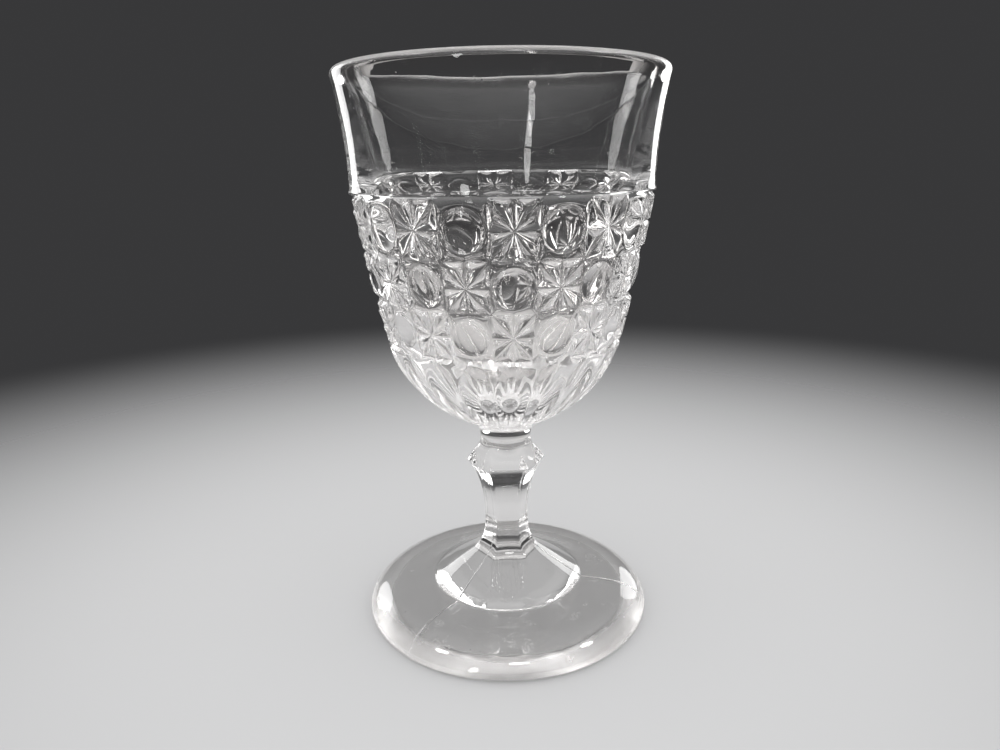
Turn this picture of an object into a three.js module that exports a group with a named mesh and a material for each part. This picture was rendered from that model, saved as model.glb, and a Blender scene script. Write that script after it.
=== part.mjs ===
// Pressed glass goblet: a bowl with three rows of daisies and buttons, a six-sided stem and a round foot.
// Millimetres, +Z up. The origin is the centre of the ring that the foot stands on, and the front is -Y.
import * as THREE from 'three';
import { mergeGeometries, mergeVertices } from 'three/addons/utils/BufferGeometryUtils.js';

// Foot: a round disc with a raised dome in the middle and a shallow hollow underneath
const FOOT_HEIGHT = 17.8;
const FOOT_RADIUS = 41.3;
const FOOT_SIDE_HEIGHT = 2.7;
const FOOT_EDGE_ROUND = 2.8;
const REST_RING_WIDTH = 4.2;
const HOLLOW_DEPTH = 2.2;
const SHOULDER_WIDTH = 7.3;
const SHOULDER_HEIGHT = 8.2;
const SHOULDER_BEND_WIDTH = 1.7;
const SHOULDER_BEND_HEIGHT = 6.4;
const DISC_HEIGHT_AT_DOME = 9.2;
const DISC_CROWN = 0.65;
const DOME_RADIUS = 21.4;
const DOME_STEP = 0.7;
const DOME_BEND_RADIUS = 13;
const DOME_BEND_DROP = 2.3;

// Stem: six flat sides, a narrow waist and a sharp-edged knop below the neck
const STEM_HEIGHT = 35.2;
const STEM_SIDES = 6;
const STEM_BASE_RADIUS = 9.8;
const STEM_BASE_BEND = 2.5;
const STEM_BASE_BLEND = 5;
const WAIST_RADIUS = 6.3;
const WAIST_HEIGHT = 9.9;
const KNOP_RADIUS = 11.3;
const KNOP_DROP = 6.8;
const KNOP_FLARE = 6.4;
const KNOP_EDGE = 0.4;
const NECK_RADIUS = 7.25;
const NECK_LENGTH = 1.4;
const CORNER_SOFTNESS = 0.12;

// Bowl: the outside, from the neck up to the rim
const SOLE_RADIUS = 10.5;
const SOLE_HEIGHT = 5.7;
const NECK_BEND_HEIGHT = 4.3;
const BELLY_SPREAD_ACROSS = 0.53;
const BELLY_SPREAD_UP = 0.2;
const BELLY_TURN_ACROSS = 0.9;
const BELLY_TURN_UP = 0.57;
const PATTERN_BASE_RADIUS = 32.2;
const PATTERN_BASE_HEIGHT = 30;
const PATTERN_HEIGHT = 38.6;
const PATTERN_TOP_RADIUS = 39.9;
const PATTERN_BULGE = 0.8;
const BAND_HEIGHT = 30.4;
const BAND_RADIUS = 39.85;
const RIB_RISE = 0.25;
const RIB_WIDTH = 1.5;
const RIB_SLOPE = 0.45;
const RIM_RADIUS = 42.9;
const LIP_HEIGHT = 1.9;

// Bowl: the smooth inside
const LIP_THICKNESS = 3.6;
const BAND_WALL = 6.2;
const BELLY_WALL = 5.2;
const THROAT_LEAN = 1.9;
const CAVITY_LEAN = 3;
const FLOOR_THICKNESS = 9.8;

// Bowl: the pressed pattern
const COLUMNS = 20;
const ROW_EDGES = [0, 0.313, 0.63, 1];
const ROWS = ROW_EDGES.length - 1;
const GROOVE_DEPTH = 1.2;
const BORDER_SHARE = 0.16;
const RAY_SHARE = 0.28;
const HEART_SHARE = 0.2;
const HEART_DEPTH = 0.6;
const BUTTON_SHARE = 0.9;
const SHOULDER_SHARE = 0.7;
const SHOULDER_DEPTH = 0.35;
const FLUTE_DEPTH = 2;
const FLUTE_REACH = 0.95;

// Facets of a round piece
const STEPS_PER_CELL = 4;
const BOWL_STEPS = COLUMNS * STEPS_PER_CELL;
const FOOT_STEPS = 60;
const STEPS_PER_SIDE = 6;

// Facets along each curve of the outlines
const HOLLOW_STEPS = 3;
const EDGE_STEPS = 3;
const SHOULDER_STEPS = 4;
const DISC_STEPS = 2;
const DOME_STEPS = 6;
const STEM_BASE_STEPS = 5;
const KNOP_FLARE_STEPS = 7;
const NECK_STEPS = 4;
const FLUTE_STEPS = 5;
const BAND_STEPS = 3;
const LIP_STEPS = 6;
const CAVITY_STEPS = 9;

// Points closer than this are one point
const MERGE_DISTANCE = 1e-4;

// Glass, with the faint warm tint of old clear pressed glass
const glass = new THREE.MeshStandardMaterial({ color: 0xdcd9d6, roughness: 0.06, metalness: 0 });

// A point at a radius, an angle from the front (to the right is positive) and a height
function polar(radius, angle, height) {
  return new THREE.Vector3(radius * Math.sin(angle), -radius * Math.cos(angle), height);
}

// A level ring of points, where radiusAt gives the radius at an angle
function ring(steps, height, radiusAt) {
  const points = [];
  for (let i = 0; i < steps; i += 1) {
    const angle = (2 * Math.PI * i) / steps;
    points.push(polar(radiusAt(angle), angle, height));
  }
  return points;
}

function roundRing(steps, station) {
  return ring(steps, station.y, () => station.x);
}

// Geometry from a plain list of triangle corners
function facets(corners) {
  return new THREE.BufferGeometry().setFromPoints(corners);
}

// Joins each ring to the next one, first to last, with the outside on the right hand going up
function skin(rings) {
  const corners = [];
  for (let k = 0; k + 1 < rings.length; k += 1) {
    const low = rings[k];
    const high = rings[k + 1];
    low.forEach((start, i) => {
      const next = (i + 1) % low.length;
      corners.push(start, low[next], high[next], start, high[next], high[i]);
    });
  }
  return facets(corners);
}

// Closes a ring to a point on the axis: facing down under a piece, facing up on top of it
function cap(points, height, facesUp) {
  const centre = new THREE.Vector3(0, 0, height);
  const corners = [];
  points.forEach((start, i) => {
    const next = points[(i + 1) % points.length];
    corners.push(...(facesUp ? [centre, start, next] : [centre, next, start]));
  });
  return facets(corners);
}

// One closed body from its surfaces
function body(surfaces) {
  const whole = mergeVertices(mergeGeometries(surfaces), MERGE_DISTANCE);
  whole.computeVertexNormals();
  return whole;
}

// Points along a curve, without its first one
function along(curve, count) {
  return curve.getPoints(count).slice(1);
}

function point(radius, height) {
  return new THREE.Vector2(radius, height);
}

function footGeometry() {
  const restOuter = FOOT_RADIUS - FOOT_EDGE_ROUND;
  const restInner = restOuter - REST_RING_WIDTH;
  const hollow = new THREE.QuadraticBezierCurve(
    point(0, HOLLOW_DEPTH), point(restInner / 2, HOLLOW_DEPTH), point(restInner, 0));
  const side = point(FOOT_RADIUS, FOOT_SIDE_HEIGHT);
  const edge = new THREE.QuadraticBezierCurve(point(restOuter, 0), point(FOOT_RADIUS, 0), side);
  const shoulderTop = point(FOOT_RADIUS - SHOULDER_WIDTH, SHOULDER_HEIGHT);
  const shoulder = new THREE.QuadraticBezierCurve(
    side, point(FOOT_RADIUS - SHOULDER_BEND_WIDTH, SHOULDER_BEND_HEIGHT), shoulderTop);
  const discInner = point(DOME_RADIUS + DOME_STEP, DISC_HEIGHT_AT_DOME);
  const discMiddle = point(
    (shoulderTop.x + discInner.x) / 2, (shoulderTop.y + discInner.y) / 2 + DISC_CROWN);
  const disc = new THREE.QuadraticBezierCurve(shoulderTop, discMiddle, discInner);
  const domeBase = point(DOME_RADIUS, DISC_HEIGHT_AT_DOME + DOME_STEP);
  const dome = new THREE.QuadraticBezierCurve(
    domeBase, point(DOME_BEND_RADIUS, FOOT_HEIGHT - DOME_BEND_DROP), point(STEM_BASE_RADIUS, FOOT_HEIGHT));
  const profile = [
    point(0, HOLLOW_DEPTH),
    ...along(hollow, HOLLOW_STEPS),
    point(restOuter, 0),
    ...along(edge, EDGE_STEPS),
    ...along(shoulder, SHOULDER_STEPS),
    ...along(disc, DISC_STEPS),
    domeBase,
    ...along(dome, DOME_STEPS),
    point(0, FOOT_HEIGHT),
  ];
  const geometry = new THREE.LatheGeometry(profile, FOOT_STEPS);
  geometry.rotateX(Math.PI / 2);
  return geometry;
}

// Cross-section of the stem: a flat-sided polygon whose softness of 1 makes it round
function stemRing(height, cornerRadius, softness) {
  const half = Math.PI / STEM_SIDES;
  return ring(STEM_SIDES * STEPS_PER_SIDE, height, (angle) => {
    const fromFace = ((angle + half) % (2 * half)) - half;
    const flat = (cornerRadius * Math.cos(half)) / Math.cos(fromFace);
    return THREE.MathUtils.lerp(flat, cornerRadius, softness);
  });
}

// The round base of the stem turns into its flat sides over a short height
function baseSoftness(height) {
  const left = Math.max(0, 1 - height / STEM_BASE_BLEND);
  return THREE.MathUtils.lerp(CORNER_SOFTNESS, 1, left ** 2);
}

function stemGeometry() {
  const knopHeight = STEM_HEIGHT - KNOP_DROP;
  const neckHeight = STEM_HEIGHT - NECK_LENGTH;
  const base = new THREE.QuadraticBezierCurve(
    point(STEM_BASE_RADIUS, 0), point(WAIST_RADIUS, STEM_BASE_BEND), point(WAIST_RADIUS, WAIST_HEIGHT));
  const flare = new THREE.QuadraticBezierCurve(
    point(WAIST_RADIUS, WAIST_HEIGHT),
    point(WAIST_RADIUS, knopHeight - KNOP_FLARE),
    point(KNOP_RADIUS - KNOP_EDGE, knopHeight - KNOP_EDGE));
  const knop = [
    point(KNOP_RADIUS, knopHeight),
    point(KNOP_RADIUS - KNOP_EDGE, knopHeight + KNOP_EDGE),
    point((KNOP_RADIUS + NECK_RADIUS) / 2, (knopHeight + neckHeight) / 2),
  ];
  const neck = [point(NECK_RADIUS, neckHeight), point(NECK_RADIUS, STEM_HEIGHT)];
  const rings = [
    ...base.getPoints(STEM_BASE_STEPS).map(({ x, y }) => stemRing(y, x, baseSoftness(y))),
    ...along(flare, KNOP_FLARE_STEPS).map(({ x, y }) => stemRing(y, x, CORNER_SOFTNESS)),
    ...knop.map(({ x, y }) => stemRing(y, x, CORNER_SOFTNESS)),
    ...neck.map(({ x, y }) => stemRing(y, x, 1)),
  ];
  const top = rings[rings.length - 1];
  return body([cap(rings[0], 0, false), skin(rings), cap(top, STEM_HEIGHT, true)]);
}

// The surface that the tops of the pattern lie on
const patternMiddle = (PATTERN_BASE_RADIUS + PATTERN_TOP_RADIUS) / 2;
const patternCurve = new THREE.QuadraticBezierCurve(
  point(PATTERN_BASE_RADIUS, PATTERN_BASE_HEIGHT),
  point(patternMiddle + PATTERN_BULGE, PATTERN_BASE_HEIGHT + PATTERN_HEIGHT / 2),
  point(PATTERN_TOP_RADIUS, PATTERN_BASE_HEIGHT + PATTERN_HEIGHT));

// A place in a cell of the pattern: across and up run from -1 to 1, and depth is below the tops
function cellPlace(column, row) {
  return (across, up, depth) => {
    const angle = ((column + across / 2) * 2 * Math.PI) / COLUMNS;
    const onCurve = patternCurve.getPoint(
      THREE.MathUtils.lerp(ROW_EDGES[row], ROW_EDGES[row + 1], (up + 1) / 2));
    return polar(onCurve.x - depth, angle, onCurve.y);
  };
}

// Width of a row's cells over their height, which keeps the buttons round
function cellSquash(row) {
  const low = patternCurve.getPoint(ROW_EDGES[row]);
  const high = patternCurve.getPoint(ROW_EDGES[row + 1]);
  const width = (Math.PI * (low.x + high.x)) / COLUMNS;
  return width / low.distanceTo(high);
}

// An eighth of a daisy: two half rays, the flat leaf between them and the groove along the cell's border
function daisySector(place, turn, side) {
  const put = (across, up, depth) => {
    let [x, y] = [across, side * up];
    for (let k = 0; k < turn; k += 1) {
      [x, y] = [-y, x];
    }
    return place(x, y, depth);
  };
  const inset = 1 - BORDER_SHARE;
  const heart = put(0, 0, HEART_DEPTH);
  const middle = put(1, 0, GROOVE_DEPTH);
  const quarter = put(1, 0.5, GROOVE_DEPTH);
  const corner = put(1, 1, GROOVE_DEPTH);
  const leafTip = put(HEART_SHARE * Math.cos(Math.PI / 8), HEART_SHARE * Math.sin(Math.PI / 8), 0);
  const leafLow = put(inset, RAY_SHARE, 0);
  const leafHigh = put(inset, inset - RAY_SHARE * Math.SQRT2, 0);
  const corners = [
    heart, middle, leafLow, heart, leafLow, leafTip,
    leafTip, leafLow, leafHigh,
    heart, leafTip, leafHigh, heart, leafHigh, corner,
    middle, quarter, leafLow, quarter, leafHigh, leafLow, quarter, corner, leafHigh,
  ];
  return side > 0 ? corners : corners.reverse();
}

function daisy(place) {
  const corners = [];
  for (let turn = 0; turn < 4; turn += 1) {
    corners.push(...daisySector(place, turn, 1), ...daisySector(place, turn, -1));
  }
  return corners;
}

// A button: a round cushion that stands in the groove level of its cell
function button(place, squash) {
  const steps = 4 * STEPS_PER_CELL;
  const border = [];
  for (let turn = 0; turn < 4; turn += 1) {
    for (let k = 0; k < STEPS_PER_CELL; k += 1) {
      const offset = (2 * k) / STEPS_PER_CELL - 1;
      const [x, y] = [[1, offset], [-offset, 1], [-1, -offset], [offset, -1]][turn];
      border.push(place(x, y, GROOVE_DEPTH));
    }
  }
  const circle = (share, depth) => border.map((_, i) => {
    const angle = (2 * Math.PI * i) / steps - Math.PI / 4;
    return place(share * Math.cos(angle), share * squash * Math.sin(angle), depth);
  });
  const foot = circle(BUTTON_SHARE, GROOVE_DEPTH);
  const shoulder = circle(SHOULDER_SHARE, GROOVE_DEPTH * SHOULDER_DEPTH);
  const crown = place(0, 0, 0);
  const corners = [];
  border.forEach((edge, i) => {
    const next = (i + 1) % steps;
    corners.push(edge, border[next], foot[next], edge, foot[next], foot[i]);
    corners.push(foot[i], foot[next], shoulder[next], foot[i], shoulder[next], shoulder[i]);
    corners.push(shoulder[i], shoulder[next], crown);
  });
  return corners;
}

// Daisies and buttons take turns along the rows and up the columns
function pattern() {
  const corners = [];
  for (let row = 0; row < ROWS; row += 1) {
    for (let column = 0; column < COLUMNS; column += 1) {
      const motif = (row + column) % 2 === 0 ? daisy : button;
      corners.push(...motif(cellPlace(column, row), cellSquash(row)));
    }
  }
  return facets(corners);
}

// Ring of the belly: one hollow flute under each column, with sharp edges between them
function fluteRing(onCurve, depth) {
  const pitch = (2 * Math.PI) / COLUMNS;
  return ring(BOWL_STEPS, onCurve.y, (angle) => {
    const across = (2 * (((angle + pitch / 2) % pitch) - pitch / 2)) / pitch;
    return onCurve.x - depth * (1 - across ** 2);
  });
}

function bowlGeometry() {
  const patternTop = PATTERN_BASE_HEIGHT + PATTERN_HEIGHT;
  const lipLow = patternTop + BAND_HEIGHT - LIP_HEIGHT;
  const floorHeight = SOLE_HEIGHT + FLOOR_THICKNESS;
  const cavityBase = PATTERN_BASE_RADIUS - BELLY_WALL;
  const cavityTop = PATTERN_TOP_RADIUS - BAND_WALL;
  const lipInner = RIM_RADIUS - LIP_THICKNESS;

  const neck = new THREE.QuadraticBezierCurve(
    point(NECK_RADIUS, 0), point(NECK_RADIUS, NECK_BEND_HEIGHT), point(SOLE_RADIUS, SOLE_HEIGHT));
  const inBelly = (across, up) => point(
    THREE.MathUtils.lerp(SOLE_RADIUS, PATTERN_BASE_RADIUS, across),
    THREE.MathUtils.lerp(SOLE_HEIGHT, PATTERN_BASE_HEIGHT, up));
  const belly = new THREE.CubicBezierCurve(
    inBelly(0, 0),
    inBelly(BELLY_SPREAD_ACROSS, BELLY_SPREAD_UP),
    inBelly(BELLY_TURN_ACROSS, BELLY_TURN_UP),
    inBelly(1, 1));
  const band = new THREE.QuadraticBezierCurve(
    point(BAND_RADIUS, patternTop + RIB_WIDTH),
    point(BAND_RADIUS, (patternTop + lipLow) / 2),
    point(RIM_RADIUS, lipLow));
  const lip = new THREE.EllipseCurve(
    RIM_RADIUS - LIP_THICKNESS / 2, lipLow, LIP_THICKNESS / 2, LIP_HEIGHT, 0, Math.PI);
  const throat = new THREE.QuadraticBezierCurve(
    point(lipInner, lipLow),
    point(cavityTop + THROAT_LEAN, (patternTop + lipLow) / 2),
    point(cavityTop, patternTop));
  const cavity = new THREE.CubicBezierCurve(
    point(cavityTop, patternTop),
    point(cavityTop - CAVITY_LEAN, (floorHeight + patternTop) / 2),
    point(cavityBase, floorHeight),
    point(0, floorHeight));

  const patternLow = fluteRing(point(PATTERN_BASE_RADIUS - GROOVE_DEPTH, PATTERN_BASE_HEIGHT), 0);
  const flutes = [];
  for (let k = 1; k <= FLUTE_STEPS; k += 1) {
    const share = (FLUTE_REACH * k) / FLUTE_STEPS;
    flutes.push(fluteRing(belly.getPoint(share), FLUTE_DEPTH * Math.sqrt(share)));
  }
  const lower = [
    ...neck.getPoints(NECK_STEPS).map((p) => roundRing(BOWL_STEPS, p)),
    ...flutes,
    patternLow,
  ];
  const ribRadius = BAND_RADIUS + RIB_RISE;
  const upper = [
    point(PATTERN_TOP_RADIUS - GROOVE_DEPTH, patternTop),
    point(ribRadius, patternTop + RIB_SLOPE),
    point(ribRadius, patternTop + RIB_WIDTH - RIB_SLOPE),
    ...band.getPoints(BAND_STEPS),
    ...along(lip, LIP_STEPS),
    ...along(throat, BAND_STEPS),
    ...along(cavity, CAVITY_STEPS).slice(0, -1),
  ].map((p) => roundRing(BOWL_STEPS, p));
  const lastInside = upper[upper.length - 1];
  return body([
    cap(lower[0], 0, false),
    skin(lower),
    pattern(),
    skin(upper),
    cap(lastInside, floorHeight, true),
  ]);
}

function piece(name, geometry, seatHeight) {
  const mesh = new THREE.Mesh(geometry, glass);
  mesh.name = name;
  mesh.position.z = seatHeight;
  return mesh;
}

const goblet = new THREE.Group();
goblet.add(
  piece('foot', footGeometry(), 0),
  piece('stem', stemGeometry(), FOOT_HEIGHT),
  piece('bowl', bowlGeometry(), FOOT_HEIGHT + STEM_HEIGHT),
);

export default goblet;
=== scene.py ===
import math

import bmesh
import bpy
from mathutils import Matrix, Vector


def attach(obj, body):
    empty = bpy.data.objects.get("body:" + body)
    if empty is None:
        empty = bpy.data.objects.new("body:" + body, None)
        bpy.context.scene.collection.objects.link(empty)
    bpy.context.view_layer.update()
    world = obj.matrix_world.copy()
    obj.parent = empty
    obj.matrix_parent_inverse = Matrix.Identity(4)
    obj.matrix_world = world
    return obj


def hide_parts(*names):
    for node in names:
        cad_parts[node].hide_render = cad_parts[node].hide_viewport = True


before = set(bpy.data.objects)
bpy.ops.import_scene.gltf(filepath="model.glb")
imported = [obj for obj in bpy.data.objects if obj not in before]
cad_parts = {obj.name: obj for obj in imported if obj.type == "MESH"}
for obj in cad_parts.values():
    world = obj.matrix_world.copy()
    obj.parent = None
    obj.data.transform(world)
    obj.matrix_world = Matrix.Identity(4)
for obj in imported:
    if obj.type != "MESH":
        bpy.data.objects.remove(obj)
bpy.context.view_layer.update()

# Foot: the round disc that the goblet stands on, with a dome that runs up into the six-sided stem.
# It is clear pressed glass with the faint warm tint of an old batch, which shows most at its rolled edge.
# The mould opens in three parts, and each of their joints leaves a fine raised seam on foot and stem.
MM = 0.001
FOOT_HEIGHT = 17.8
FOOT_RADIUS = 41.3
SIDE_HEIGHT = 2.7
EDGE_ROUND = 2.8
REST_RING_WIDTH = 4.2
HOLLOW_DEPTH = 2.2
SHOULDER_WIDTH = 7.3
SHOULDER_HEIGHT = 8.2
SHOULDER_BEND = (39.6, 6.4)
DISC_BEND = (28.05, 9.35)
DOME_FOOT = (22.1, 9.2)
DOME_EDGE = (21.4, 9.9)
DOME_ROUNDING = 0.9
DOME_LEAD = 0.08
DOME_BEND = (13.0, 15.5)
STEM_BASE_RADIUS = 9.8
STEM_SIDES = 6
BASE_SOFTNESS = 0.7
FLARE_DEPTH = 5.0
FOOT_STEPS = 240
HOLLOW_STEPS = 10
EDGE_STEPS = 8
SHOULDER_STEPS = 14
DISC_STEPS = 10
ROUNDING_STEPS = 5
DOME_STEPS = 22
MERGE_GAP = 1e-6
TOUCH = 1e-7
SEAM_AZIMUTHS = (-44, 76, 196)
SEAM_WIDTH = 0.5
SEAM_RISE = 0.16
FACES_DOWN = -0.9
CLEAR_TINT = (0.99, 0.986, 0.982, 1)
WARM_TINT = (0.95, 0.925, 0.91, 1)
SHADOW_TINT = (0.985, 0.982, 0.98, 1)
GLASS_IOR = 1.52
WAVE_SCALE = 95
STREAK_SCALE = 420
STREAK_SQUEEZE = (1, 1, 0.15)
STREAK_RELIEF = 0.1
STREAK_ROUGHNESS = 0.02
SEED_SCALE = 230
SEED_EDGES = (0.09, 0.03)
SEED_RELIEF = 0.2
RELIEF_STRENGTH = 0.6
RELIEF_DEPTH = 0.14
SCUFF_SCALE = 130
SCUFF_EDGES = (0.57, 0.7)
SCUFF_ROUGHNESS = 0.5
GRIT_SCALE = 3500
GRIT_EDGES = (0.45, 0.6)
WORN_ROUGHNESS = 0.3
CLOUD_SCALE = 45
CLOUD_RANGE = 0.5
CLOUD_LEAST = 0.75
EDGE_TINT = (36, 40.5)
DISC_TINT = 0.15
REST_WEAR = (0.3, 0.05)
DISC_SCUFFS = (23, 26)
SHARP_ANGLE = math.radians(60)


def bend(share, *pulls):
    """The place at a share of the way along the curve that these points pull."""
    while len(pulls) > 1:
        pulls = [Vector(near).lerp(Vector(far), share) for near, far in zip(pulls, pulls[1:])]
    return pulls[0]


def curve(steps, *pulls):
    """Points along that curve, without its first."""
    return [bend(step / steps, *pulls) for step in range(1, steps + 1)]


def around(radius, angle, height):
    """The point at a radius, an angle from the front and a height, from millimetres to metres."""
    return Vector((radius * math.sin(angle), -radius * math.cos(angle), height)) * MM


def azimuth(place):
    return math.atan2(place.x, -place.y)


def turn(work, outline, steps, start=0.0, sweep=math.tau):
    """Turns an outline of radii and heights about the goblet's axis."""
    points = [work.verts.new(around(radius, start, height)) for radius, height in outline]
    edges = [work.edges.new(pair) for pair in zip(points, points[1:])]
    bmesh.ops.spin(
        work, geom=points + edges, cent=(0, 0, 0), axis=(0, 0, 1), angle=sweep, steps=steps,
        use_merge=sweep == math.tau,
    )


def flat_sided(angle, softness):
    """A six-sided section at an angle, as a share of its corner radius. A softness of 1 makes it round."""
    half = math.pi / STEM_SIDES
    from_face = (angle + half) % (2 * half) - half
    flat = math.cos(half) / math.cos(from_face)
    return flat + (1 - flat) * softness


def close_up(work):
    """Merges what meets and turns the faces outwards."""
    bmesh.ops.remove_doubles(work, verts=work.verts, dist=MERGE_GAP)
    bmesh.ops.recalc_face_normals(work, faces=work.faces)


def fuse_at(work, height):
    """Gives the flat face at a height, where two pieces are one glass, the second material."""
    for face in work.faces:
        if all(abs(vert.co.z - height * MM) < TOUCH for vert in face.verts):
            face.material_index = 1


class Wire:
    """One output of a material's nodes, so that shader maths reads as plain expressions."""

    def __init__(self, tree, socket=None):
        self.tree = tree
        self.socket = socket

    def add(self, kind, output=0, settings=None, inputs=None):
        """A new node of a kind, with its settings and the values or links of its inputs."""
        node = self.tree.nodes.new(kind)
        for name, value in (settings or {}).items():
            setattr(node, name, value)
        for name, value in (inputs or {}).items():
            if isinstance(value, Wire):
                self.tree.links.new(value.socket, node.inputs[name])
            else:
                node.inputs[name].default_value = value
        return Wire(self.tree, node.outputs[output] if node.outputs else None)

    def math(self, operation, first, second):
        return self.add("ShaderNodeMath", settings={"operation": operation}, inputs={0: first, 1: second})

    def __add__(self, other):
        return self.math("ADD", self, other)

    __radd__ = __add__

    def __sub__(self, other):
        return self.math("SUBTRACT", self, other)

    def __rsub__(self, other):
        return self.math("SUBTRACT", other, self)

    def __mul__(self, other):
        return self.math("MULTIPLY", self, other)

    __rmul__ = __mul__

    def ramp(self, low, high):
        """0 at low and 1 at high, with a soft change between them."""
        return self.add(
            "ShaderNodeMapRange",
            settings={"interpolation_type": "SMOOTHSTEP"},
            inputs={"Value": self, "From Min": low, "From Max": high},
        )

    def ramp_mm(self, low, high):
        """The same for a length, from one number of millimetres to another."""
        return self.ramp(low * MM, high * MM)

    def noise(self, scale, detail):
        return self.add("ShaderNodeTexNoise", inputs={"Vector": self, "Scale": scale, "Detail": detail})

    def blend(self, low, high):
        """A colour between two, by this share."""
        return self.add(
            "ShaderNodeMix", output=2, settings={"data_type": "RGBA"}, inputs={0: self, 6: low, 7: high}
        )


def new_nodes(name):
    material = bpy.data.materials.new(name)
    material.use_nodes = True
    material.node_tree.nodes.clear()
    return material, Wire(material.node_tree)


def pressed_glass(name, thick, worn, scuffed):
    """Fire-polished glass. By radius and height, its masks say where its tint shows and where it is dull."""
    material, nodes = new_nodes(name)
    place = nodes.add("ShaderNodeTexCoord", output="Object")
    split = nodes.add("ShaderNodeSeparateXYZ", inputs={0: place}).socket.node
    across, deep, height = (Wire(nodes.tree, output) for output in split.outputs)
    radius = nodes.math("SQRT", across * across + deep * deep, 0)
    drawn = nodes.add("ShaderNodeMapping", inputs={"Vector": place, "Scale": STREAK_SQUEEZE})
    waves = place.noise(WAVE_SCALE, 1)
    streaks = drawn.noise(STREAK_SCALE, 1)
    seeds = nodes.add("ShaderNodeTexVoronoi", inputs={"Vector": place, "Scale": SEED_SCALE}).ramp(*SEED_EDGES)
    patches = place.noise(SCUFF_SCALE, 3).ramp(*SCUFF_EDGES)
    grit = place.noise(GRIT_SCALE, 2).ramp(*GRIT_EDGES)
    scuffs = patches * grit * scuffed(radius, height)
    wear = scuffs * SCUFF_ROUGHNESS + worn(radius, height) * WORN_ROUGHNESS
    relief = waves + streaks * STREAK_RELIEF + seeds * SEED_RELIEF
    bump = nodes.add(
        "ShaderNodeBump",
        inputs={"Strength": RELIEF_STRENGTH, "Distance": RELIEF_DEPTH * MM, "Height": relief},
    )
    cloud = place.noise(CLOUD_SCALE, 2) * CLOUD_RANGE + CLOUD_LEAST
    tint = (thick(radius, height) * cloud).blend(CLEAR_TINT, WARM_TINT)
    glass = nodes.add(
        "ShaderNodeBsdfPrincipled",
        inputs={
            "Base Color": tint,
            "Roughness": wear + streaks * STREAK_ROUGHNESS,
            "IOR": GLASS_IOR,
            "Transmission Weight": 1.0,
            "Normal": bump,
        },
    )
    shine = nodes.add("ShaderNodeBsdfTransparent", inputs={"Color": SHADOW_TINT})
    lamps = nodes.add("ShaderNodeLightPath", output="Is Shadow Ray")
    surface = nodes.add("ShaderNodeMixShader", inputs={0: lamps, 1: glass, 2: shine})
    nodes.add("ShaderNodeOutputMaterial", inputs={"Surface": surface})
    return material


def fused_glass():
    """The joint of two pieces that are one glass: nothing shows there, and light goes straight on."""
    material, nodes = new_nodes("fused_glass")
    nothing = nodes.add("ShaderNodeBsdfPrincipled", inputs={"Alpha": 0.0})
    nodes.add("ShaderNodeOutputMaterial", inputs={"Surface": nothing})
    return material


def set_out(work, name, materials):
    """Makes the finished mesh a piece of the scene that rides with the goblet."""
    for face in work.faces:
        face.smooth = True
    for edge in work.edges:
        one_glass = len({face.material_index for face in edge.link_faces}) == 1
        edge.smooth = one_glass and edge.calc_face_angle(math.pi) < SHARP_ANGLE
    mesh = bpy.data.meshes.new(name)
    work.to_mesh(mesh)
    work.free()
    for material in materials:
        mesh.materials.append(material)
    piece = bpy.data.objects.new(name, mesh)
    bpy.context.scene.collection.objects.link(piece)
    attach(piece, "root")
    return piece


def raise_seam(work, angle):
    """Lifts a fine ridge up the outside of a piece, where two parts of the mould meet."""
    outwards = around(1, angle, 0).normalized()
    sideways = Vector((0, 0, 1)).cross(outwards)
    for offset in (-SEAM_WIDTH, SEAM_WIDTH, 0):
        faces = [
            face for face in work.faces
            if face.calc_center_median().dot(outwards) > 0
            and face.normal.z > FACES_DOWN and not face.material_index
        ]
        edges = dict.fromkeys(edge for face in faces for edge in face.edges)
        verts = dict.fromkeys(vert for face in faces for vert in face.verts)
        cut = bmesh.ops.bisect_plane(
            work, geom=[*faces, *edges, *verts], dist=TOUCH,
            plane_co=sideways * offset * MM / 2, plane_no=sideways,
        )
    work.normal_update()
    for item in cut["geom_cut"]:
        if isinstance(item, bmesh.types.BMVert):
            joint = any(face.material_index for face in item.link_faces)
            item.co += (outwards if joint else item.normal) * SEAM_RISE * MM


rest_outer = FOOT_RADIUS - EDGE_ROUND
rest_inner = rest_outer - REST_RING_WIDTH
side = (FOOT_RADIUS, SIDE_HEIGHT)
shoulder_top = (FOOT_RADIUS - SHOULDER_WIDTH, SHOULDER_HEIGHT)
disc_end = (DOME_FOOT[0] + DOME_ROUNDING, DOME_FOOT[1])
dome_step = bend(0.5, DOME_FOOT, DOME_EDGE)
dome_start = bend(DOME_LEAD, DOME_EDGE, DOME_BEND)
foot_outline = [
    (0, HOLLOW_DEPTH),
    *curve(HOLLOW_STEPS, (0, HOLLOW_DEPTH), (rest_inner / 2, HOLLOW_DEPTH), (rest_inner, 0)),
    (rest_outer, 0),
    *curve(EDGE_STEPS, (rest_outer, 0), (FOOT_RADIUS, 0), side),
    *curve(SHOULDER_STEPS, side, SHOULDER_BEND, shoulder_top),
    *curve(DISC_STEPS, shoulder_top, DISC_BEND, disc_end),
    *curve(ROUNDING_STEPS, disc_end, DOME_FOOT, dome_step),
    *curve(ROUNDING_STEPS, dome_step, DOME_EDGE, dome_start),
    *curve(DOME_STEPS, dome_start, DOME_BEND, (STEM_BASE_RADIUS, FOOT_HEIGHT)),
    (0, FOOT_HEIGHT),
]
foot_work = bmesh.new()
turn(foot_work, foot_outline, FOOT_STEPS)
close_up(foot_work)
for vert in foot_work.verts:
    drop = (FOOT_HEIGHT - vert.co.z / MM) / FLARE_DEPTH
    if drop < 1:
        share = flat_sided(azimuth(vert.co), BASE_SOFTNESS + (1 - BASE_SOFTNESS) * drop)
        vert.co.x *= share
        vert.co.y *= share
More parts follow.
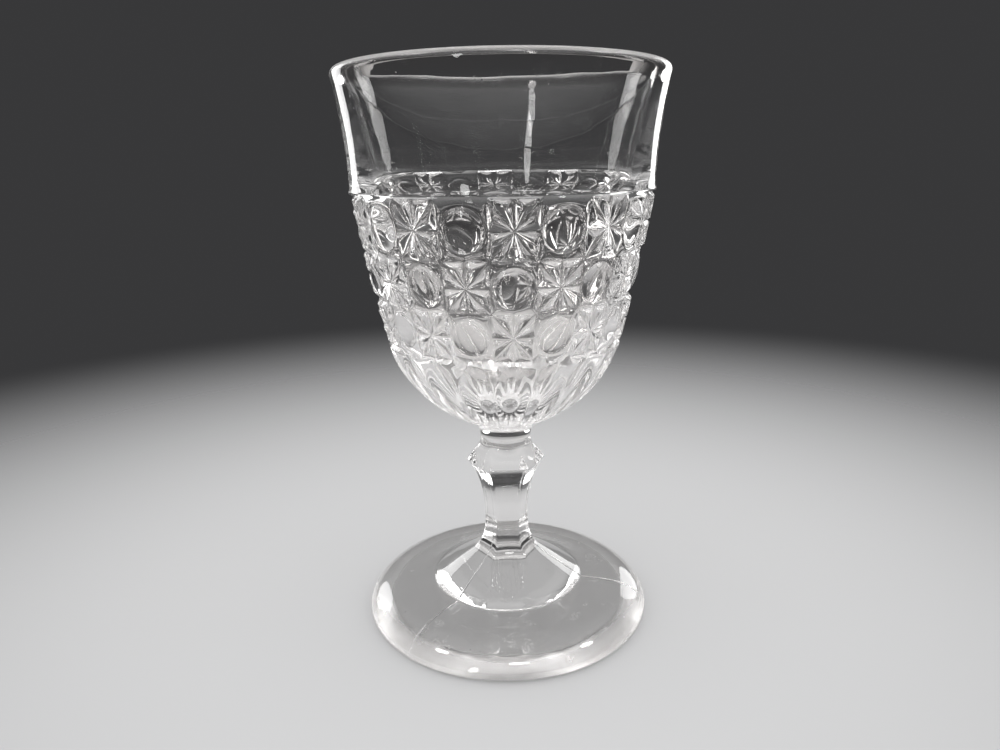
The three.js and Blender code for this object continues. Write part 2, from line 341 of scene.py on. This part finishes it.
fuse_at(foot_work, FOOT_HEIGHT)
for degrees in SEAM_AZIMUTHS:
    raise_seam(foot_work, math.radians(degrees))
foot_glass = pressed_glass(
    "foot_glass",
    thick=lambda radius, height: radius.ramp_mm(*EDGE_TINT) + DISC_TINT,
    worn=lambda radius, height: height.ramp_mm(*REST_WEAR),
    scuffed=lambda radius, height: radius.ramp_mm(*DISC_SCUFFS),
)
fused = fused_glass()
foot = set_out(foot_work, "goblet_foot", [foot_glass, fused])
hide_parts("foot")

# Stem: six flat sides, narrow at the waist, with a sharp knop under a round neck.
# It is pressed in one with the foot and the bowl, so its two ends are joints in solid glass.
STEM_HEIGHT = 35.2
WAIST = (6.3, 9.9)
BASE_BEND = (6.3, 2.5)
BASE_BLEND = 5.0
KNOP_RADIUS = 11.5
KNOP_DROP = 6.8
KNOP_FLARE = 6.4
KNOP_EDGE = 0.35
NECK_RADIUS = 7.25
NECK_LENGTH = 1.4
SIDE_SOFTNESS = 0.1
SIDE_SMOOTHING = 0.5
STEPS_PER_SIDE = 24
BASE_STEPS = 12
SHAFT_STEPS = 24
KNOP_STEPS = 10
NECK_STEPS = 3
NECK_TINT_EDGES = (50, 52)
NECK_TINT = 0.5
STEM_TINT = 0.25
STEM_SCUFFS = 0.1

knop_height = STEM_HEIGHT - KNOP_DROP
neck_height = STEM_HEIGHT - NECK_LENGTH
knop_low = (KNOP_RADIUS - KNOP_EDGE, knop_height - KNOP_EDGE)
knop_high = (KNOP_RADIUS - KNOP_EDGE, knop_height + KNOP_EDGE)
stem_outline = [
    *curve(BASE_STEPS, (STEM_BASE_RADIUS, 0), BASE_BEND, WAIST),
    *curve(SHAFT_STEPS, WAIST, (WAIST[0], knop_height - KNOP_FLARE), knop_low),
    (KNOP_RADIUS, knop_height),
    knop_high,
    *curve(KNOP_STEPS, knop_high, (NECK_RADIUS, neck_height)),
    *curve(NECK_STEPS, (NECK_RADIUS, neck_height), (NECK_RADIUS, STEM_HEIGHT)),
]


def stem_softness(height):
    """How round the section is: soft at the base, flat-sided to the knop and round at the neck."""
    base = max(0.0, 1 - height / BASE_BLEND) ** 2
    neck = min(1.0, max(0.0, (height - knop_height) / (neck_height - knop_height))) ** 3
    return SIDE_SOFTNESS + max((BASE_SOFTNESS - SIDE_SOFTNESS) * base, (1 - SIDE_SOFTNESS) * neck)


def stem_ring(verts, radius, height):
    """Sets a ring of points to the stem's section at a height."""
    for vert in verts:
        angle = azimuth(vert.co)
        reach = radius * flat_sided(angle, stem_softness(height))
        vert.co = around(reach, angle, FOOT_HEIGHT + height)


def grow(work, loop):
    """Extrudes a loop of edges in place, and gives the new ring of points and its loop."""
    grown = bmesh.ops.extrude_edge_only(work, edges=loop)["geom"]
    ring = [item for item in grown if isinstance(item, bmesh.types.BMVert)]
    edges = [item for item in grown if isinstance(item, bmesh.types.BMEdge)]
    return ring, [edge for edge in edges if set(edge.verts) <= set(ring)]


stem_work = bmesh.new()
base_ring = bmesh.ops.create_circle(stem_work, segments=STEM_SIDES * STEPS_PER_SIDE, radius=1)["verts"]
stem_ring(base_ring, STEM_BASE_RADIUS, 0)
loop = list(stem_work.edges)
bmesh.ops.edgeloop_fill(stem_work, edges=loop)
inner_rings = []
for radius, height in stem_outline:
    ring, loop = grow(stem_work, loop)
    stem_ring(ring, radius, height)
    if height < neck_height:
        inner_rings += ring
bmesh.ops.edgeloop_fill(stem_work, edges=loop)
bmesh.ops.smooth_vert(
    stem_work, verts=inner_rings, factor=SIDE_SMOOTHING, use_axis_x=True, use_axis_y=True
)
close_up(stem_work)
fuse_at(stem_work, FOOT_HEIGHT)
fuse_at(stem_work, FOOT_HEIGHT + STEM_HEIGHT)
for degrees in SEAM_AZIMUTHS:
    raise_seam(stem_work, math.radians(degrees))
stem_glass = pressed_glass(
    "stem_glass",
    thick=lambda radius, height: height.ramp_mm(*NECK_TINT_EDGES) * NECK_TINT + STEM_TINT,
    worn=lambda radius, height: 0.0,
    scuffed=lambda radius, height: STEM_SCUFFS,
)
stem = set_out(stem_work, "goblet_stem", [stem_glass, fused])
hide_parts("stem")

# Bowl: a fluted belly, three rows of daisies and buttons by turns, a plain flared band and a thick round lip.
# The plunger leaves the inside smooth. Every ridge of the pattern is softened by the fire polish.
BOWL_BASE = FOOT_HEIGHT + STEM_HEIGHT
SOLE = (10.5, BOWL_BASE + 5.7)
NECK_BEND = (NECK_RADIUS, BOWL_BASE + 4.3)
BELLY_SPREAD = (22.0, BOWL_BASE + 10.56)
BELLY_TURN = (30.03, BOWL_BASE + 19.55)
PATTERN_BASE = (32.2, BOWL_BASE + 30)
PATTERN_BEND = (36.85, BOWL_BASE + 49.3)
PATTERN_TOP = (39.9, BOWL_BASE + 68.6)
RIM_HEIGHT = BOWL_BASE + 99
BAND_RADIUS = 39.85
RIB_RISE = 0.25
RIB_WIDTH = 1.5
RIB_LOW = 0.35
RIB_HIGH = 0.3
RIM_RADIUS = 42.9
LIP_HEIGHT = 1.9
LIP_THICKNESS = 3.6
BAND_WALL = 6.2
BELLY_WALL = 5.2
THROAT_LEAN = 1.9
CAVITY_LEAN = 3.0
FLOOR_THICKNESS = 9.8
COLUMNS = 20
ROW_EDGES = (0, 0.313, 0.63, 1)
CELL_STEPS = 20
TILE_GAP = 1e-5
GROOVE_DEPTH = 1.2
BORDER_SHARE = 0.16
RAY_SHARE = 0.28
HEART_SHARE = 0.2
HEART_DEPTH = 0.6
BUTTON_SHARE = 0.9
BUTTON_RINGS = 9
BUTTON_CROWN = 0.75
BUTTON_SHOULDER = 8
FLUTE_DEPTH = 2.0
FLUTE_FOOT_DEPTH = 0.6
FLUTE_FOOT = 0.04
FLUTE_FOOT_ARCH = 0.2
FLUTE_TOP_ARCH = 0.6
FLUTE_TOP = 0.97
FLUTE_STEPS = 30
LIP_STEPS = 14
BAND_STEPS = 12
THROAT_STEPS = 10
CAVITY_STEPS = 18
SOLE_STEPS = 8
FIRE_POLISH = 0.3
LIP_TINT = (146, 151)
PATTERN_TINT_EDGES = (124, 118)
PATTERN_TINT = 0.45
LIP_WEAR = (150.2, 151.2)
BAND_SCUFF_EDGES = (122, 126)
BAND_SCUFFS = 0.3
COLUMN_ANGLE = math.tau / COLUMNS
WEDGE_START = -COLUMN_ANGLE / 2
WEDGE_SWEEP = 2 * COLUMN_ANGLE


def all_of(work):
    return [*work.verts, *work.edges, *work.faces]


def tile_mesh(tile, name):
    mesh = bpy.data.meshes.new(name)
    tile.to_mesh(mesh)
    tile.free()
    return mesh


def on_pattern(share):
    """The radius and height of the pattern's tops at a share of the way up it."""
    return bend(share, PATTERN_BASE, PATTERN_BEND, PATTERN_TOP)


def daisy_tile():
    """A cell with eight grooves that widen from its heart, between flat leaves.

    Across and up, a tile runs from -1 to 1.
    """
    tile = bmesh.new()
    inset = 1 - BORDER_SHARE
    heart = tile.verts.new((0, 0, -HEART_DEPTH))
    middle = tile.verts.new((1, 0, -GROOVE_DEPTH))
    quarter = tile.verts.new((1, 0.5, -GROOVE_DEPTH))
    corner = tile.verts.new((1, 1, -GROOVE_DEPTH))
    tip = tile.verts.new((HEART_SHARE * math.cos(math.pi / 8), HEART_SHARE * math.sin(math.pi / 8), 0))
    low = tile.verts.new((inset, RAY_SHARE, 0))
    high = tile.verts.new((inset, inset - RAY_SHARE * math.sqrt(2), 0))
    for corners in (
        (heart, middle, low), (heart, low, tip), (tip, low, high), (heart, tip, high), (heart, high, corner),
        (middle, quarter, low), (quarter, high, low), (quarter, corner, high),
    ):
        tile.faces.new(corners)
    bmesh.ops.subdivide_edges(tile, edges=tile.edges, cuts=CELL_STEPS // 4 - 1, use_grid_fill=True)
    bmesh.ops.mirror(tile, geom=all_of(tile), matrix=Matrix(), merge_dist=TILE_GAP, axis="Y")
    bmesh.ops.spin(
        tile, geom=all_of(tile), cent=(0, 0, 0), axis=(0, 0, 1), angle=math.tau * 3 / 4, steps=3,
        use_duplicate=True,
    )
    bmesh.ops.remove_doubles(tile, verts=tile.verts, dist=TILE_GAP)
    return tile_mesh(tile, "daisy_tile")


def quarter_of(angle):
    """The direction of the cell's side that an angle looks at."""
    return round(angle / (math.pi / 2)) * math.pi / 2


def button_tile(low, high):
    """A cell with a round cushion that stands in the groove level, for a row with these edges."""
    width = math.pi * (low[0] + high[0]) / COLUMNS
    squash = width / (high - low).length
    tile = bmesh.new()
    border = bmesh.ops.create_circle(tile, segments=4 * CELL_STEPS, radius=1)["verts"]
    loop = list(tile.edges)
    for vert in border:
        angle = math.atan2(vert.co.y, vert.co.x)
        quarter = quarter_of(angle)
        edge = Vector((1, (angle - quarter) / (math.pi / 4), -GROOVE_DEPTH))
        vert.co = Matrix.Rotation(quarter, 3, "Z") @ edge
    for step in range(BUTTON_RINGS):
        share = math.cos(step / BUTTON_RINGS * math.pi / 2)
        ring, loop = grow(tile, loop)
        depth = GROOVE_DEPTH * (BUTTON_CROWN * share ** 2 + (1 - BUTTON_CROWN) * share ** BUTTON_SHOULDER)
        for vert in ring:
            if step == 0:
                angle = math.atan2(vert.co.y, vert.co.x)
                quarter = quarter_of(angle)
                angle = quarter + math.tan(angle - quarter) * math.pi / 4
            else:
                angle = math.atan2(vert.co.y / squash, vert.co.x)
            reach = BUTTON_SHARE * share
            vert.co = Vector((reach * math.cos(angle), reach * math.sin(angle) * squash, -depth))
    crown = bmesh.ops.edgeloop_fill(tile, edges=loop)["faces"]
    centre = bmesh.ops.poke(tile, faces=crown)["verts"][0]
    centre.co = Vector((0, 0, 0))
    return tile_mesh(tile, "button_tile")


def press(work, tile, column, row):
    """Sets a tile in its cell of the bowl."""
    first = len(work.verts)
    work.from_mesh(tile)
    work.verts.ensure_lookup_table()
    for vert in work.verts[first:]:
        across, up, rise = vert.co
        low, high = ROW_EDGES[row:row + 2]
        radius, height = on_pattern(low + (high - low) * (up + 1) / 2)
        vert.co = around(radius + rise, (column + across / 2) * COLUMN_ANGLE, height)


def flutes(work):
    """The belly: one hollow flute under each column, with an arched top and sharp ridges between."""
    steps = 2 * CELL_STEPS
    grid = bmesh.ops.create_grid(work, x_segments=steps, y_segments=FLUTE_STEPS, size=1)["verts"]
    for vert in grid:
        share = (vert.co.y + 1) / 2
        angle = WEDGE_START + (vert.co.x + 1) / 2 * WEDGE_SWEEP
        across = 2 * ((angle - WEDGE_START) % COLUMN_ANGLE) / COLUMN_ANGLE - 1
        top = max(0.0, share - FLUTE_TOP_ARCH) / (FLUTE_TOP - FLUTE_TOP_ARCH)
        bottom = max(0.0, FLUTE_FOOT_ARCH - share) / (FLUTE_FOOT_ARCH - FLUTE_FOOT)
        width = math.sqrt(max(0.0, 1 - max(top, bottom) ** 2))
        hollow = max(0.0, 1 - (across / width) ** 2) if width > 0 else 0.0
        radius, height = bend(share, SOLE, BELLY_SPREAD, BELLY_TURN, PATTERN_BASE)
        border = GROOVE_DEPTH if share == 1 else 0.0
        deepest = FLUTE_DEPTH * (FLUTE_FOOT_DEPTH + (1 - FLUTE_FOOT_DEPTH) * share)
        vert.co = around(radius - deepest * hollow * width - border, angle, height)


pattern_top = PATTERN_TOP[1]
lip_low = RIM_HEIGHT - LIP_HEIGHT
lip_middle = RIM_RADIUS - LIP_THICKNESS / 2
lip_inner = RIM_RADIUS - LIP_THICKNESS
cavity_top = (PATTERN_TOP[0] - BAND_WALL, pattern_top)
floor_height = SOLE[1] + FLOOR_THICKNESS
cavity_side = PATTERN_BASE[0] - BELLY_WALL
band_foot = (BAND_RADIUS, pattern_top + RIB_WIDTH)
band_middle = (pattern_top + lip_low) / 2
rib = (BAND_RADIUS + RIB_RISE, pattern_top + RIB_WIDTH / 2)
lip = [
    (lip_middle + LIP_THICKNESS / 2 * math.cos(angle), lip_low + LIP_HEIGHT * math.sin(angle))
    for angle in (math.pi * step / LIP_STEPS for step in range(1, LIP_STEPS + 1))
]
upper_outline = [
    (PATTERN_TOP[0] - GROOVE_DEPTH, pattern_top),
    (rib[0], rib[1] - RIB_LOW),
    rib,
    (rib[0], rib[1] + RIB_HIGH),
    band_foot,
    *curve(BAND_STEPS, band_foot, (BAND_RADIUS, band_middle), (RIM_RADIUS, lip_low)),
    *lip,
    *curve(THROAT_STEPS, (lip_inner, lip_low), (cavity_top[0] + THROAT_LEAN, band_middle), cavity_top),
    *curve(
        CAVITY_STEPS, cavity_top, (cavity_top[0] - CAVITY_LEAN, (floor_height + pattern_top) / 2),
        (cavity_side, floor_height), (0, floor_height),
    ),
]
lower_outline = [
    (0, BOWL_BASE),
    (NECK_RADIUS, BOWL_BASE),
    *curve(SOLE_STEPS, (NECK_RADIUS, BOWL_BASE), NECK_BEND, SOLE),
]
bowl_work = bmesh.new()
daisy = daisy_tile()
for row, edges in enumerate(zip(ROW_EDGES, ROW_EDGES[1:])):
    button = button_tile(*(on_pattern(edge) for edge in edges))
    press(bowl_work, daisy, row % 2, row)
    press(bowl_work, button, 1 - row % 2, row)
    bpy.data.meshes.remove(button)
bpy.data.meshes.remove(daisy)
flutes(bowl_work)
for outline in (upper_outline, lower_outline):
    turn(bowl_work, outline, 2 * CELL_STEPS, WEDGE_START, WEDGE_SWEEP)
bmesh.ops.spin(
    bowl_work, geom=all_of(bowl_work), cent=(0, 0, 0), axis=(0, 0, 1), angle=math.tau - WEDGE_SWEEP,
    steps=COLUMNS // 2 - 1, use_duplicate=True,
)
close_up(bowl_work)
pressed = [
    vert for vert in bowl_work.verts
    if SOLE[1] * MM < vert.co.z < band_foot[1] * MM
    and vert.normal.dot(around(1, azimuth(vert.co), 0)) > 0
]
bmesh.ops.smooth_vert(
    bowl_work, verts=pressed, factor=FIRE_POLISH, use_axis_x=True, use_axis_y=True, use_axis_z=True
)
fuse_at(bowl_work, BOWL_BASE)
bowl_glass = pressed_glass(
    "bowl_glass",
    thick=lambda radius, height: (
        height.ramp_mm(*LIP_TINT) + height.ramp_mm(*PATTERN_TINT_EDGES) * PATTERN_TINT
    ),
    worn=lambda radius, height: height.ramp_mm(*LIP_WEAR),
    scuffed=lambda radius, height: height.ramp_mm(*BAND_SCUFF_EDGES) * BAND_SCUFFS,
)
bowl = set_out(bowl_work, "goblet_bowl", [bowl_glass, fused])
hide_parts("bowl")

# Floor: plain pale paper round the goblet, which fades into the dim grey room a little way off.
# It lies a hair under the foot, so that the two don't share a face, and carries the goblet's soft shadow.
FLOOR_COLOUR = (0.6, 0.6, 0.605, 1)
FLOOR_ROUGHNESS = 0.8
FLOOR_RADIUS = 1.4
FLOOR_SIDES = 96
FLOOR_GAP = 0.00004
FADE_START = 0.06
FADE_END = 0.43

floor_work = bmesh.new()
bmesh.ops.create_circle(floor_work, cap_ends=True, segments=FLOOR_SIDES, radius=FLOOR_RADIUS)
floor_mesh = bpy.data.meshes.new("floor")
floor_work.to_mesh(floor_mesh)
floor_work.free()
paper, nodes = new_nodes("floor_paper")
place = nodes.add("ShaderNodeTexCoord", output="Object")
away = nodes.add("ShaderNodeVectorMath", output=1, settings={"operation": "LENGTH"}, inputs={0: place})
matt = nodes.add(
    "ShaderNodeBsdfPrincipled", inputs={"Base Color": FLOOR_COLOUR, "Roughness": FLOOR_ROUGHNESS}
)
gone = nodes.add("ShaderNodeBsdfTransparent", inputs={"Color": (1, 1, 1, 1)})
faded = nodes.add("ShaderNodeMixShader", inputs={0: away.ramp(FADE_START, FADE_END), 1: matt, 2: gone})
nodes.add("ShaderNodeOutputMaterial", inputs={"Surface": faded})
floor_mesh.materials.append(paper)
floor = bpy.data.objects.new("floor", floor_mesh)
floor.location.z = -FLOOR_GAP
bpy.context.scene.collection.objects.link(floor)

# Studio light: soft white light from above and all round, weaker at the back, where the room stays dark.
# Two tall boxes at the back draw the edges of the glass, and a window and small lamps make it sparkle.
ROOM_GREY = (0.04, 0.04, 0.0415, 1)
SOFT_WHITE = (0.95, 0.95, 0.95, 1)
GLOW_EDGES = (0.2, 0.45)
BACK_EDGES = (0.1, 0.75)
BACK_SHADE = 0.6
LAMPS = {
    "back_left_box": {"place": (-0.68, 0.78, 0.3), "size": (0.4, 0.55), "radiance": 3.0},
    "back_right_box": {"place": (0.68, 0.78, 0.3), "size": (0.4, 0.55), "radiance": 3.0},
    "window": {"place": (-0.4, -0.69, 0.32), "size": (0.09, 0.4), "radiance": 7.0},
    "front_box": {"place": (0.06, -0.55, 0.75), "size": (0.2, 0.14), "radiance": 10.0},
    "left_box": {"place": (-0.65, -0.2, 0.85), "size": (0.16, 0.16), "radiance": 18.0},
    "right_box": {"place": (0.7, -0.15, 0.8), "size": (0.16, 0.16), "radiance": 18.0},
}
LAMP_TARGET = Vector((0, 0, 0.08))

for name, lamp in LAMPS.items():
    light = bpy.data.lights.new(name, "AREA")
    light.shape = "ELLIPSE"
    light.size, light.size_y = lamp["size"]
    light.energy = lamp["radiance"] * math.pi * light.size * light.size_y
    box = bpy.data.objects.new(name, light)
    box.location = lamp["place"]
    box.rotation_euler = (LAMP_TARGET - box.location).to_track_quat("-Z", "Y").to_euler()
    box.visible_camera = False
    bpy.context.scene.collection.objects.link(box)
world = bpy.data.worlds.new("studio")
world.use_nodes = True
world.node_tree.nodes.clear()
room = Wire(world.node_tree)
heading = room.add("ShaderNodeTexCoord", output="Generated")
split = room.add("ShaderNodeSeparateXYZ", inputs={0: heading}).socket.node
backwards, upwards = (Wire(room.tree, split.outputs[axis]) for axis in "YZ")
lit = upwards.ramp(*GLOW_EDGES) * (1 - backwards.ramp(*BACK_EDGES) * BACK_SHADE)
glow = room.add("ShaderNodeBackground", inputs={"Color": lit.blend(ROOM_GREY, SOFT_WHITE)})
room.add("ShaderNodeOutputWorld", inputs={"Surface": glow})
bpy.context.scene.world = world

# Camera: just under the level of the rim, looking down at the goblet from close by through a wide lens.
# Light may pass and bounce many times in the glass before it reaches the lens.
CAMERA_PLACE = (-0.01399, -0.2069, 0.12958)
CAMERA_HEADING = -3.5
CAMERA_PITCH = 15.758
CAMERA_ROLL = -0.867
LENS = 27.38
SENSOR = 36.0
CLIP_START = 0.01
GLASS_BOUNCES = 32
GLOSS_BOUNCES = 24

lens = bpy.data.cameras.new("camera")
lens.lens = LENS
lens.sensor_width = SENSOR
lens.clip_start = CLIP_START
camera = bpy.data.objects.new("camera", lens)
camera.matrix_world = (
    Matrix.Translation(CAMERA_PLACE)
    @ Matrix.Rotation(math.radians(CAMERA_HEADING), 4, "Z")
    @ Matrix.Rotation(math.radians(90 - CAMERA_PITCH), 4, "X")
    @ Matrix.Rotation(math.radians(CAMERA_ROLL), 4, "Z")
)
bpy.context.scene.collection.objects.link(camera)
scene = bpy.context.scene
scene.camera = camera
scene.view_settings.view_transform = "Standard"
scene.cycles.max_bounces = GLASS_BOUNCES
scene.cycles.transmission_bounces = GLASS_BOUNCES
scene.cycles.glossy_bounces = GLOSS_BOUNCES
scene.cycles.transparent_max_bounces = GLASS_BOUNCES
scene.cycles.caustics_reflective = False
scene.cycles.caustics_refractive = False
